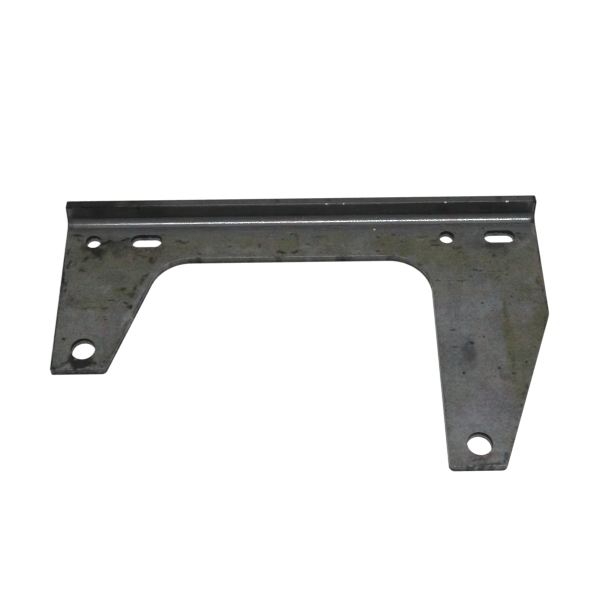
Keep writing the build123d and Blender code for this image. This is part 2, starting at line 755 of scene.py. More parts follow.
    def mesh(self, points: np.ndarray, quads: np.ndarray, triangles: np.ndarray) -> bpy.types.Mesh:
        """Puts points and faces into a new mesh, shaded smooth up to the sharp angle.

        Args:
            points: The points in space.
            quads: Four point numbers for each face of the rims.
            triangles: Three point numbers for each face of the skins.

        Returns:
            The mesh.
        """
        mesh = bpy.data.meshes.new(PLATE)
        mesh.vertices.add(len(points))
        mesh.vertices.foreach_set("co", points.astype(np.float32).ravel())
        corners = np.concatenate([quads.ravel(), triangles.ravel()])
        mesh.loops.add(len(corners))
        mesh.loops.foreach_set("vertex_index", corners.astype(np.int32))
        starts = np.concatenate(
            [4 * np.arange(len(quads)), quads.size + 3 * np.arange(len(triangles))]
        )
        mesh.polygons.add(len(starts))
        mesh.polygons.foreach_set("loop_start", starts.astype(np.int32))
        mesh.update(calc_edges=True)
        mesh.validate()
        mesh.polygons.foreach_set("use_smooth", np.ones(len(mesh.polygons), bool))
        mesh.set_sharp_from_angle(angle=self.sharp_angle)
        return mesh

    def stain(self, mesh: bpy.types.Mesh, flat: np.ndarray, rise: np.ndarray) -> None:
        """Writes the stains to the mesh, as one attribute for each tone.

        Args:
            mesh: The bracket's mesh.
            flat: Its points on the unrolled inner skin.
            rise: Their heights over the die skin.
        """
        noise = rim_noise(flat)
        sides = {Skin.PUNCH: rise > 0.0, Skin.DIE: rise <= 0.0}
        for tone in Tone:
            spread = np.zeros(len(flat))
            for skin, stains in self.stains.items():
                for stain in (each for each in stains if each.tone is tone):
                    more = np.maximum(spread, stain.spread(flat, noise))
                    spread = np.where(sides[skin], more, spread)
            self.mark(mesh, tone.value, spread)

    def build(self) -> bpy.types.Object:
        """Makes the bracket in its place, with its edges and stains as attributes.

        Returns:
            The bracket's object.
        """
        blank, kinds, quads, triangles = self.surface()
        x, along, rise = blank.T
        x = self.drawn_in(x, along, rise)
        mesh = self.mesh(self.sheet.roll(x, along, rise), quads, triangles)
        for name, values in zip(EDGE_MARKS, kinds.T):
            self.mark(mesh, name, values)
        self.stain(mesh, np.column_stack([x, self.sheet.unstretched(along)]), rise)
        plate = bpy.data.objects.new(PLATE, mesh)
        bpy.context.scene.collection.objects.link(plate)
        LOG.info("%s: %d vertices, %d faces", PLATE, len(mesh.vertices), len(mesh.polygons))
        return plate

    @staticmethod
    def mark(mesh: bpy.types.Mesh, name: str, values: np.ndarray) -> None:
        """Writes one value for each vertex to a mesh attribute."""
        attribute = mesh.attributes.new(name, "FLOAT", "POINT")
        attribute.data.foreach_set("value", values.astype(np.float32))


class Value:
    """A number in a node tree, whose arithmetic adds Math nodes."""

    def __init__(self, tree: "Shader", socket: bpy.types.NodeSocket) -> None:
        """Wraps an output socket."""
        self.tree = tree
        self.socket = socket

    def math(self, operation: str, first: Any, second: Any = 0.0, clamp: bool = False) -> "Value":
        """One Math node on two numbers or values."""
        settings = {"operation": operation, "use_clamp": clamp}
        return self.tree.value("ShaderNodeMath", settings, {0: first, 1: second})

    def __add__(self, other: Any) -> "Value":
        """Sum."""
        return self.math("ADD", self, other)

    def __radd__(self, other: Any) -> "Value":
        """Sum, from the right."""
        return self.math("ADD", other, self)

    def __sub__(self, other: Any) -> "Value":
        """Difference."""
        return self.math("SUBTRACT", self, other)

    def __rsub__(self, other: Any) -> "Value":
        """Difference, from the right."""
        return self.math("SUBTRACT", other, self)

    def __mul__(self, other: Any) -> "Value":
        """Product."""
        return self.math("MULTIPLY", self, other)

    def __rmul__(self, other: Any) -> "Value":
        """Product, from the right."""
        return self.math("MULTIPLY", other, self)

    def over(self, low: float, high: float) -> "Value":
        """Smooth step from 0 at low to 1 at high."""
        return self.tree.value(
            "ShaderNodeMapRange",
            {"interpolation_type": "SMOOTHSTEP"},
            {0: self, 1: low, 2: high, 3: 0.0, 4: 1.0},
        )

    def most(self, other: Any) -> "Value":
        """The larger of two."""
        return self.math("MAXIMUM", self, other)

    def clamped(self) -> "Value":
        """The value, kept between 0 and 1."""
        return self.math("ADD", self, 0.0, clamp=True)


Link = Union[Value, bpy.types.NodeSocket, float, Sequence[float]]
Settings = Optional[Dict[str, Any]]
Sockets = Optional[Dict[Any, Link]]


class Shader:
    """Builds one node tree."""

    def __init__(self, tree: bpy.types.NodeTree) -> None:
        """Takes a tree and empties it."""
        self.tree = tree
        tree.nodes.clear()

    def node(self, kind: str, settings: Settings = None, sockets: Sockets = None) -> bpy.types.Node:
        """Adds a node.

        Args:
            kind: The node's type.
            settings: Its settings, by name.
            sockets: Values or links of its inputs, by name or number.

        Returns:
            The node.
        """
        node = self.tree.nodes.new(kind)
        for name, setting in (settings or {}).items():
            setattr(node, name, setting)
        for key, link in (sockets or {}).items():
            socket = node.inputs[key]
            if isinstance(link, Value):
                link = link.socket
            if isinstance(link, bpy.types.NodeSocket):
                self.tree.links.new(link, socket)
            else:
                socket.default_value = link
        return node

    def value(self, kind: str, settings: Settings = None, sockets: Sockets = None) -> Value:
        """Adds a node and wraps its first output."""
        return Value(self, self.node(kind, settings, sockets).outputs[0])

    def attribute(self, name: str) -> Value:
        """A mesh attribute."""
        node = self.node("ShaderNodeAttribute", {"attribute_name": name})
        return Value(self, node.outputs["Fac"])

    def mix(
        self, share: Link, first: Link, second: Link, blend: str = "MIX"
    ) -> bpy.types.NodeSocket:
        """Mixes two colours, which the node takes in its inputs 6 and 7.

        Args:
            share: How much of the second colour shows.
            first: The first colour.
            second: The second colour.
            blend: How the second is laid over the first.

        Returns:
            The mixed colour.
        """
        colours = [(*link, 1.0) if isinstance(link, tuple) else link for link in (first, second)]
        settings = {"data_type": "RGBA", "blend_type": blend}
        node = self.node("ShaderNodeMix", settings, {0: share, 6: colours[0], 7: colours[1]})
        return node.outputs[2]


@dataclass(frozen=True)
class Paint:
    """How one kind of stain looks.

    It begins to show where its amount is faint and is whole where it is full, and fine and coarse
    noise break it up by fray and drift.
    """

    colour: Colour
    share: float
    faint: float
    full: float
    fray: float
    drift: float


PAINTS = {
    Tone.FILM: Paint((0.058, 0.059, 0.061), 0.90, 0.15, 0.85, 0.4, 0.3),
    Tone.RUBBED_AND_SHEEN: Paint((0.112, 0.114, 0.118), 0.90, 0.00, 1.00, 0.2, 0.15),
    Tone.BARE_AND_SHEEN: Paint((0.140, 0.142, 0.149), 0.80, 0.00, 1.10, 0.5, 0.5),
    Tone.OIL: Paint((0.069, 0.070, 0.036), 0.92, 0.00, 1.60, 0.7, 0.8),
    Tone.RUST: Paint((0.096, 0.080, 0.070), 0.60, 0.00, 1.00, 0.8, 1.0),
    Tone.DARK: Paint((0.009, 0.010, 0.008), 0.96, 0.10, 1.35, 1.5, 0.4),
    Tone.CHIP: Paint((0.60, 0.60, 0.58), 1.0, 0.40, 0.60, 0.0, 0.0),
}


@dataclass(frozen=True)
class Noise:
    """One noise of the finish: how wide its features are, its own place and how rough it is."""

    size: float
    seed: float
    detail: float = 4.0
    rough: float = 0.6

    def of(self, shader: Shader, place: Link) -> Value:
        """Adds the noise, which lies about 0 and mostly between -0.25 and 0.25.

        Args:
            shader: The node tree to build in.
            place: Where each point of the surface is.

        Returns:
            The noise.
        """
        shift = tuple(self.seed * part for part in SEED_WAY)
        moved = shader.node("ShaderNodeVectorMath", {"operation": "ADD"}, {0: place, 1: shift})
        sockets = {
            "Vector": moved.outputs[0],
            "Scale": 1.0 / self.size,
            "Detail": self.detail,
            "Roughness": self.rough,
        }
        return shader.value("ShaderNodeTexNoise", {"normalize": True}, sockets) - 0.5


@dataclass(frozen=True)
class Share:
    """A share of something that a noise swings about its mean."""

    mean: float
    swing: float

    def of(self, noise: Value) -> Value:
        """The share where the noise has this value."""
        return self.mean + noise * self.swing


@dataclass(frozen=True)
class Specks:
    """Small marks all over the steel, which begin where their noise is low and are whole where
    it is high.
    """

    noise: Noise
    colour: Colour
    low: float
    high: float
    share: float


@dataclass(frozen=True)
class Cast:
    """A faint change of colour between two tints, neutral at a grey of one half."""

    noise: Noise
    low: Colour
    high: Colour
    reach: float = 0.15


@dataclass(frozen=True)
class Texture:
    """How strongly each noise lightens and darkens the steel, and how stains calm that."""

    mottle: float = 0.75
    grain: float = 1.6
    streak: float = 0.3
    film_streak: float = 0.4
    film_calm: float = 0.6
    bare_and_sheen_calm: float = 0.35
    least: float = 0.3


@dataclass(frozen=True)
class Roughness:
    """How rough the steel and the film are, and what else adds to it."""

    steel: float = 0.32
    film: float = 0.18
    mottle: float = 0.25
    grain: float = 0.15
    dark: float = 0.2
    dark_film: float = 0.35
    torn: float = 0.3
    wall: float = 0.12
    # Roughness added where the holes' walls have painted shade
    grime: float = 0.3


@dataclass(frozen=True)
class Relief:
    """Height of the finest relief, and what grain, torn steel and film make of it."""

    height: float = 0.022 * MM
    grain: float = 0.5
    torn: float = 2.0
    film_calm: float = 0.93


@dataclass(frozen=True)
class MillSteel:
    """Hot-rolled steel under thin dark mill scale, oiled, stained and rubbed.

    The film begins and is whole where its amount is in the film range. Noise breaks a stain up
    fully where its amount times the rim gain reaches 1, and less where the film holds it.
    """

    scale: Colour = (0.083, 0.084, 0.078)
    burnished: Colour = (0.062, 0.062, 0.062)
    torn: Colour = (0.030, 0.030, 0.030)
    # Colour of the painted shade on the holes' upper walls
    hole_shade_colour: Colour = (0.011, 0.011, 0.011)
    cloud: Noise = Noise(16 * MM, 1.0)
    drift: Noise = Noise(5.5 * MM, 5.0)
    mottle: Noise = Noise(2.8 * MM, 2.0, 5.0, 0.66)
    fray: Noise = Noise(1.7 * MM, 6.0, 4.0, 0.66)
    grain: Noise = Noise(1.2 * MM, 3.0, 3.0, 0.7)
    streak: Noise = Noise(1.3 * MM, 8.0, 3.0)
    streak_stretch: Tuple[float, float, float] = (0.05, 1.0, 1.0)
    casts: Tuple[Cast, ...] = (
        Cast(Noise(8 * MM, 4.0, 2.0), (0.481, 0.513, 0.511), (0.523, 0.491, 0.500)),
        Cast(Noise(13 * MM, 11.0, 2.0), (0.505, 0.503, 0.470), (0.495, 0.498, 0.525)),
    )
    pits: Specks = Specks(Noise(1.4 * MM, 7.0, 2.0), (0.020, 0.021, 0.018), 0.14, 0.24, 0.7)
    glints: Specks = Specks(Noise(1.3 * MM, 9.0, 2.0), (0.26, 0.26, 0.24), 0.16, 0.26, 0.5)
    film_range: Tuple[float, float] = (0.2, 0.8)
    rim_gain: float = 3.0
    film_hold: float = 0.75
    wall_share: float = 0.9
    burnished_wear: Share = Share(0.3, 1.5)
    torn_wear: Share = Share(0.40, 2.0)
    # How much painted shade the holes' upper walls take, swung by the fray noise
    grime: Share = Share(0.95, 0.6)
    texture: Texture = Texture()
    roughness: Roughness = Roughness()
    relief: Relief = Relief()
    metallic: float = 0.65
    dark_metallic: float = 0.7

    def material(self) -> bpy.types.Material:
        """The finish as a node material on object coordinates and the mesh's attributes."""
        made = bpy.data.materials.new(SLOT)
        made.use_nodes = True
        SteelCoats(self, Shader(made.node_tree)).finish()
        return made


class SteelCoats:
    """The nodes of a steel finish, laid on coat by coat."""

    def __init__(self, steel: MillSteel, shader: Shader) -> None:
        """Makes the noises that coats share, and reads what the mesh says of each place."""
        self.steel = steel
        self.shader = shader
        self.place = shader.node("ShaderNodeTexCoord").outputs["Object"]
        self.drift = steel.drift.of(shader, self.place)
        self.mottle = steel.mottle.of(shader, self.place)
        self.fray = steel.fray.of(shader, self.place)
        self.grain = steel.grain.of(shader, self.place)
        # Wall, torn band and the holes' painted shade, as the mesh gives them
        self.wall, self.torn, self.grime = (shader.attribute(name) for name in EDGE_MARKS)
        self.smooth = shader.attribute(Tone.FILM.value).over(*steel.film_range)
        self.masks = {tone: self.mask(tone, paint) for tone, paint in PAINTS.items()}

    def mask(self, tone: Tone, paint: Paint) -> Value:
        """How much of a stain shows, broken up along its rim.

        Args:
            tone: The stain's tone.
            paint: How it looks.

        Returns:
            The share of its colour at each place.
        """
        amount = self.shader.attribute(tone.value)
        broken = self.fray * paint.fray + self.drift * paint.drift
        broken = broken * (amount * self.steel.rim_gain).clamped()
        broken = broken * (1 - self.smooth * self.steel.film_hold)
        return (amount + broken).over(paint.faint, paint.full) * paint.share

    def bare(self) -> bpy.types.NodeSocket:
        """Colour of the steel without stains.

        Returns:
            The colour of the scale, and of the cut edge's burnished and torn bands.
        """
        steel, mix = self.steel, self.shader.mix
        wear = steel.burnished_wear.of(self.mottle).clamped()
        burnished = mix(wear, steel.burnished, steel.torn)
        wear = steel.torn_wear.of(self.grain).clamped()
        ragged = mix(wear, steel.torn, steel.burnished)
        edge = mix(self.torn, burnished, ragged)
        return mix(self.wall * steel.wall_share, steel.scale, edge)

    def stained(self, colour: Link) -> Link:
        """A colour under all the stains."""
        for tone, paint in PAINTS.items():
            colour = self.shader.mix(self.masks[tone], colour, paint.colour)
        return colour

    def tinted(self, colour: Link) -> Link:
        """Lays the casts over a colour.

        Args:
            colour: The colour below.

        Returns:
            The colour with its casts.
        """
        for cast in self.steel.casts:
            share = cast.noise.of(self.shader, self.place).over(-cast.reach, cast.reach)
            tint = self.shader.mix(share, cast.low, cast.high)
            colour = self.shader.mix(1.0, colour, tint, "OVERLAY")
        return colour

    def textured(self, colour: Link) -> Link:
        """Lightens and darkens a colour by the noises, and by streaks along the rolling.

        Args:
            colour: The colour below.

        Returns:
            The colour with its texture.
        """
        texture = self.steel.texture
        calm = 1 - self.smooth * texture.film_calm
        calm = calm * (1 - self.masks[Tone.BARE_AND_SHEEN] * texture.bare_and_sheen_calm)
        cloud = self.steel.cloud.of(self.shader, self.place)
        light = 1.0 + (cloud + self.mottle * texture.mottle + self.grain * texture.grain) * calm
        stretched = self.shader.node(
            "ShaderNodeVectorMath",
            {"operation": "MULTIPLY"},
            {0: self.place, 1: self.steel.streak_stretch},
        )
        streak = self.steel.streak.of(self.shader, stretched.outputs[0])
        light = light + streak * (texture.streak + self.smooth * texture.film_streak)
        return self.shader.mix(1.0, colour, light.most(texture.least), "MULTIPLY")

    def speckled(self, colour: Link, specks: Specks, clear: Value) -> Link:
        """A colour with specks on it, but none where it is clear."""
        shown = specks.noise.of(self.shader, self.place).over(specks.low, specks.high)
        return self.shader.mix(shown * specks.share * (1 - clear), colour, specks.colour)

    def hole_shaded(self, colour: Link) -> Link:
        """A colour darkened by the painted shade on the holes' upper walls."""
        share = (self.grime * self.steel.grime.of(self.fray)).clamped()
        return self.shader.mix(share, colour, self.steel.hole_shade_colour)

    def rough(self) -> Value:
        """Roughness of the dry steel, of the smooth film over it and of the cut edges.

        Returns:
            The roughness, from 0 to 1.
        """
        rough = self.steel.roughness
        dark = self.masks[Tone.DARK]
        dry = rough.steel + self.mottle * rough.mottle + self.grain * rough.grain
        dry = dry + dark * rough.dark + self.torn * rough.torn
        film = rough.film + dark * rough.dark_film
        edge = self.wall * rough.wall + self.grime * rough.grime
        return (dry * (1 - self.smooth) + film * self.smooth + edge).clamped()

    def height(self) -> Value:
        """Height of the relief, which the film nearly fills."""
        relief = self.steel.relief
        plate = (self.grain * relief.grain + self.mottle) * (1 - self.smooth * relief.film_calm)
        return plate + self.torn * self.grain * relief.torn

    def finish(self) -> None:
        """Lays the coats on in order and joins them to the material's output."""
        steel, shader = self.steel, self.shader
        colour = self.textured(self.tinted(self.stained(self.bare())))
        colour = self.speckled(colour, steel.pits, self.smooth)
        colour = self.speckled(colour, steel.glints, self.wall)
        # Dark stains and the holes' painted shade make the steel more metallic, which darkens it
        # further
        stained_and_shaded = (self.masks[Tone.DARK] * steel.dark_metallic + self.grime).clamped()
        bump = shader.node(
            "ShaderNodeBump",
            {},
            {"Strength": 1.0, "Distance": steel.relief.height, "Height": self.height()},
        )
        surface = shader.node(
            "ShaderNodeBsdfPrincipled",
            {},
            {
                "Base Color": self.hole_shaded(colour),
                "Metallic": steel.metallic + stained_and_shaded * (1 - steel.metallic),
                "Roughness": self.rough(),
                "Normal": bump.outputs[0],
            },
        )
        shader.node("ShaderNodeOutputMaterial", {}, {"Surface": surface.outputs[0]})


@dataclass
class Studio:
    """White floor, one long softbox overhead, and the camera."""

    floor_drop: float = 0.2 * MM
    floor_size: float = 8.0
    floor_colour: float = 0.8
    floor_shade: float = 0.35
    floor_glow: float = 0.8
    box_length: float = 0.66
    box_width: float = 0.05
    box_height: float = 0.8
    box_shift: float = 0.13
    box_lean: float = math.radians(20.5)
    box_radiance: float = 62.0
    fill: float = 0.3
    camera_place: Tuple[float, float, float] = (0.00637, -0.43276, 0.57439)
    camera_pitch: float = math.radians(55.532)
    camera_roll: float = math.radians(0.363)
    camera_yaw: float = math.radians(-1.409)
    focal_length: float = 75.66
    sensor: float = 36.0
    nearest: float = 0.01

    def floor(self) -> None:
        """Lays the floor, which shows white and keeps a soft shadow."""
        half = self.floor_size / 2
        corners = [(-half, -half), (half, -half), (half, half), (-half, half)]
        mesh = bpy.data.meshes.new("floor")
        mesh.from_pydata([(x, y, -self.floor_drop) for x, y in corners], [], [(0, 1, 2, 3)])
        floor = bpy.data.objects.new("floor", mesh)
        bpy.context.scene.collection.objects.link(floor)
        made = bpy.data.materials.new("studio_floor")
        made.use_nodes = True
        shader = Shader(made.node_tree)
        lit, faint = (
            shader.node("ShaderNodeBsdfDiffuse", {}, {"Color": (grey, grey, grey, 1.0)})
            for grey in (self.floor_colour, self.floor_shade)
        )
        glow = shader.node("ShaderNodeEmission", {}, {"Strength": self.floor_glow})
        shown = shader.node("ShaderNodeAddShader", {}, {0: faint.outputs[0], 1: glow.outputs[0]})
        surface = shader.node(
            "ShaderNodeMixShader",
            {},
            {0: self.seen(shader), 1: lit.outputs[0], 2: shown.outputs[0]},
        )
        shader.node("ShaderNodeOutputMaterial", {}, {"Surface": surface.outputs[0]})
        floor.data.materials.append(made)

    @staticmethod
    def seen(shader: Shader) -> Value:
        """1 for what the camera sees, directly, in a gloss or through glass."""
        path = shader.node("ShaderNodeLightPath")
        rays = ("Is Camera Ray", "Is Glossy Ray", "Is Transmission Ray")
        straight, glossy, through = (Value(shader, path.outputs[ray]) for ray in rays)
        return straight.most(glossy).most(through)

    def world(self) -> None:
        """A plain fill for the object and a white background for the camera."""
        world = bpy.data.worlds.new("studio")
        bpy.context.scene.world = world
        world.use_nodes = True
        shader = Shader(world.node_tree)
        fill, white = (
            shader.node("ShaderNodeBackground", {}, {"Color": WHITE, "Strength": strength})
            for strength in (self.fill, 1.0)
        )
        sky = shader.node(
            "ShaderNodeMixShader",
            {},
            {0: self.seen(shader), 1: fill.outputs[0], 2: white.outputs[0]},
        )
        shader.node("ShaderNodeOutputWorld", {}, {"Surface": sky.outputs[0]})

    def lamp(self) -> None:
        """Hangs the softbox over the bend, leaning to the camera's side."""
        light = bpy.data.lights.new("softbox", "AREA")
        light.shape = "RECTANGLE"
        light.size = self.box_length
        light.size_y = self.box_width
        light.energy = self.box_radiance * math.pi * self.box_length * self.box_width
        box = bpy.data.objects.new("softbox", light)
        bpy.context.scene.collection.objects.link(box)
        box.location = (self.box_shift, -self.box_height * math.tan(self.box_lean), self.box_height)
        box.rotation_euler = (-self.box_lean, 0, 0)
        box.visible_camera = False

    def camera(self) -> None:
        """Puts the camera where the photograph was taken from."""
        data = bpy.data.cameras.new("camera")
        data.lens = self.focal_length
        data.sensor_width = self.sensor
        data.clip_start = self.nearest
        camera = bpy.data.objects.new("camera", data)
        bpy.context.scene.collection.objects.link(camera)
        turn = (
            Matrix.Rotation(self.camera_yaw, 4, "Z")
            @ Matrix.Rotation(math.pi / 2 - self.camera_pitch, 4, "X")
            @ Matrix.Rotation(self.camera_roll, 4, "Z")
        )
        camera.matrix_world = Matrix.Translation(self.camera_place) @ turn
        bpy.context.scene.camera = camera

    def build(self) -> None:
        """Sets up the whole studio."""
        self.floor()
        self.world()
        self.lamp()
        self.camera()
        bpy.context.scene.view_settings.view_transform = "Standard"
        LOG.info("studio ready")


def bend_stains() -> List[Stain]:
    """The blue film on the plate and the long leg, the rubbed bend, painted sheen and shade along
    it, and the flange's dark marks.
    """
    return [
        *patches(
            Tone.FILM,
            (18, 16.5, 900, 11.4),
            (18, 5.4, 900, 1.5, 0, 1.4),
            (-94, -5, 24, 16, 0, 0.5),
            (122, -5, 16, 5, -4, 0.75),
            (139, 2, 10, 5, 0, 0.6),
            (24, 1, 8, 3, 0, 0.5),
            (104, 0, 12, 6, 0, 0.4),
            (106.8, -79.5, 3.6, 7.5, 0, 0.95),
            (103, -82, 4.5, 9.0, 0, 0.65),
            (123, -93, 4.0, 3.4, -20, 0.8),
        ),
        *patches(
            Tone.OIL,
            (-80, 20.5, 30, 5, 0, 0.4, 0.3),
            (-45, 7, 30, 2.4, 0, 0.5, 0.3),
        ),
        *patches(
            Tone.RUBBED_AND_SHEEN,
            (40, 10.9, 125, 2.1, 0, 0.75, 0.2),
            (125, 10.9, 40, 2.1, 0, 0.9, 0.2),
            (-80, 10.9, 60, 2.0, 0, 0.60, 0.2),
            (18, 5.9, 900, 2.4, 0, 0.30, 0.5),
            # Painted sheen: a light line where the bend meets the plate, standing in for the
            # reflection there
            (18, 8.4, 900, 1.3, 0, 0.75, 0.3),
        ),
        *patches(
            Tone.BARE_AND_SHEEN,
            (-41, 6.6, 0.5, 2, 0, 0.8),
            (10, 4.5, 2.6, 0.5, 8),
            (150.0, 4, 1.0, 5, 0, 0.7),
        ),
        *patches(
            Tone.DARK,
            # Along the whole bend and flange
            # Painted shade on the bend's upper flank, standing in for the dark plate that it
            # reflects there
            (18, 14.9, 900, 2.0, 0, 0.62, 0.0),
            (18, 25.2, 900, 1.4, 0, 0.75, 0.0),
            # Painted shade at the ends of the flange and the bend: it dims the floor's reflection
            # on the flange's ends and stops the bend's highlight a few millimetres short of each
            # end
            (-113, 24.5, 3, 2, 0, 1.3, 0.0),
            (-115.4, 19, 0.8, 7, 0, 1.5, 0.0),
            (151.5, 19, 0.8, 7, 0, 1.3, 0.0),
            (148.8, 20, 1.4, 5, 0, 0.8, 0.0),
            (150.5, 24, 1.5, 2, 0, 1.2, 0.0),
            (151.6, 11, 3.3, 2.4, 0, 1.3, 0.0),
            (-115, 12, 3.6, 4, 0, 0.75),
            (149.5, 7, 2.4, 3, 0, 0.5),
            # Along the rim of the flange
            (-100, 25.6, 18, 2.4, 0, 1.9, 0.0),
            (-76, 25.2, 16, 1.7, 0, 1.2, 0.0),
            (-64, 24.4, 12, 0.77, 0, 0.8),
            (-75, 22, 1.6, 1.2),
            (-10, 22.5, 3, 0.51, 0, 0.7),
            (128, 24.6, 6, 0.59, 0, 0.8),
            # On the flange and the bend
            (40, 8.2, 2.04, 0.42, 0, 0.9),
            (26.5, 6.8, 2.6, 0.85, 15, 0.5),
            (121, 5.6, 0.72, 0.72),
            (98, 5.2, 3, 0.42, 0, 0.7),
            (91, 15.5, 1.27, 0.59, 0, 1.1),
            (-107, 14.5, 10, 3.6, 0, 0.5),
        ),
        *patches(
            Tone.CHIP,
            (59.3, 5.9, 0.66, 0.66, 0, 1, 0.0),
            (99.5, 23.75, 0.8, 0.36, 0, 1.2, 0.0),
            (134.5, 23.75, 0.8, 0.36, 0, 1.2, 0.0),
            (32, 23.75, 0.6, 0.30, 0, 1.0, 0.0),
            (41.8, 23.75, 0.6, 0.30, 0, 1.0, 0.0),
        ),
    ]


def left_leg_stains() -> List[Stain]:
    """Marks on the short leg, from the bolt row down to the foot."""
    return [
        *patches(
            Tone.OIL,
            (-98, -9, 20, 13, -8, 0.95),
            (-78, -12, 14, 10, -10, 1.15),
            (-97, -27, 18, 10, 0, 0.7),
            (-78, -31, 9, 9, 60, 0.9),
            (-80, -36, 6, 3.4, -30, 1.5),
            (-72, -27, 3, 5, -30, 1.2),
            (-93, -42, 18, 9, 0, 0.8),
            (-92, -77, 5, 4, 0, 0.9),
        ),
        *patches(
            Tone.BARE_AND_SHEEN,
            (-100, -58, 15, 14, 0, 0.42),
            (-79, -54, 2.5, 6, -21, 0.9),
            (-66, -22.5, 2.0, 6, -38, 0.65),
            (-71.5, -38, 1.4, 9, -21, 0.9),
            (-57, -16.5, 3, 1.3, 35, 0.6),
            (-91, -33, 2.4, 2.4, 0, 0.9),
            (-88, -50, 3.5, 2.5, 0, 0.7),
            (-101, -83.6, 12, 0.6, 0, 0.7),
        ),
        *patches(
            Tone.RUST,
            (-103.5, 0.5, 5, 3),
            (-109, 1.5, 4, 3, 0, 0.8),
            (-83, 2, 4, 1.6, 0, 0.9),
            (-79, -11, 5, 4),
            (-66, -12, 3, 4, 0, 0.8),
            (-78, -22, 4, 3, 0, 0.6),
            (-105, -44.5, 4, 4, 0, 0.6),
            (-89, -60, 3, 5, 0, 0.6),
            (-85.5, -72, 2.5, 4, -21, 0.9),
            (-96, -23, 5, 2, 0, 0.6),
        ),
        *patches(
            Tone.DARK,
            # Faint darkening over the upper half
            (-92, -16, 28, 26, 0, 0.26),
            (-90, -2, 28, 7, 0, 0.48),
            # Along the outer and the slanting edge, and the foot
            (-101, -85, 15, 0.85, 0, 0.8),
            (-115.5, -20, 0.9, 18, 1, 1.3),
            (-116.1, -55, 0.8, 22, 1, 1.2),
            (-116.6, -80, 0.85, 6, 0, 1.4),
            (-81.2, -66, 0.8, 20, -20.8, 0.7),
            (-71.0, -40, 0.6, 14, -20.8, 0.8),
            # Round the bolt row
            (-109.5, 4.3, 4.5, 0.68, 0, 1.1),
            (-108, 1.4, 3.4, 2.0, -10, 0.75),
            (-104.5, -2, 1.6, 2.6, 20, 0.8),
            (-90.5, -0.8, 7, 1.3, 3, 1.2),
            (-81.5, 0.7, 4, 1.1, 16, 1.2),
            (-97.6, -7.2, 5.8, 5.6, 10, 1.2),
            (-100.6, -11.5, 3.4, 3.0, 0, 0.85),
            (-86, -5, 13, 5.5, 0, 0.76),
            (-71, -6.5, 10, 3.5, 0, 0.66),
            (-82, -9.5, 8, 2.6, 0, 0.7),
            (-75, -9.5, 3.5, 0.77, -8, 0.8),
            (-66.3, -13.2, 2.6, 2.2, -40),
            (-71, -11, 2.5, 1.2, -10, 0.9),
            (-112.8, -7, 1.5, 4, 0, 0.9),
            (-112, -12, 3.4, 10, 0, 0.4),
            (-107.5, -9, 5, 5, 0, 0.45),
            # Between the bolt row and the foot hole
            (-110, -42.5, 5, 5, 0, 0.65),
            (-112.4, -16, 1.6, 4),
            (-113, -27, 2.4, 8, 0, 0.35),
            (-104.6, -19.5, 2.2, 2.0, 0, 0.8),
            (-113.2, -28.5, 1.6, 2.6, 0, 1.1),
            (-113.4, -33, 1.4, 1.2, 0, 1.2),
            (-95.5, -25.5, 0.86, 0.43, 45),
            (-68.5, -23.5, 0.85, 1.61, -30, 1.1),
            (-70.5, -26.5, 1.4, 5, -28, 0.7),
            (-74, -33.5, 1.7, 4, -28, 0.7),
            (-71.3, -27.5, 1.1, 2.0, -30),
            (-73.5, -32.5, 1.3, 2.4, -25, 1.15),
            (-77, -37, 2.4, 1.2, 30, 0.95),
            (-81, -33.5, 2.4, 1.2, 0, 0.8),
            (-87, -41, 2.8, 0.68, 0, 1.15),
            (-82.8, -41, 0.72, 0.58),
            (-79, -43, 1.87, 0.85, -25, 1.2),
            (-76.5, -45, 1.5, 1.3, 0, 1.2),
            (-98.5, -45, 6, 0.8, -3, 0.9),
            (-90.5, -45.6, 2.6, 0.68, 0, 0.9),
            (-90, -51.2, 1.3, 0.7, 20, 1.1),
            (-89.3, -53, 1.2, 0.65),
            (-103, -45, 10, 4, 0, 0.4),
            (-111.5, -65.2, 1.0, 0.8, 0, 1.2),
            # Round the foot hole
            (-115.5, -83, 2.5, 2, 0, 1.2),
            (-112, -72.5, 0.65, 0.65, 0, 0.9),
            (-101, -79.8, 8.5, 3.8, 0, 1.5),
            (-106, -77, 3.6, 2.4, 35, 1.3),
            (-109, -80.5, 5.5, 3.4, 0, 0.85),
            (-94, -79.8, 3.0, 3.2, 0, 1.1),
            (-111, -81.5, 4.6, 3.2, 0, 0.65),
            (-101, -80, 16, 5.5, 0, 0.5),
            (-88.5, -80.5, 2.6, 3.0, 0, 0.6),
            (-89, -80.3, 0.59, 1.36, 0, 1.1),
        ),
    ]


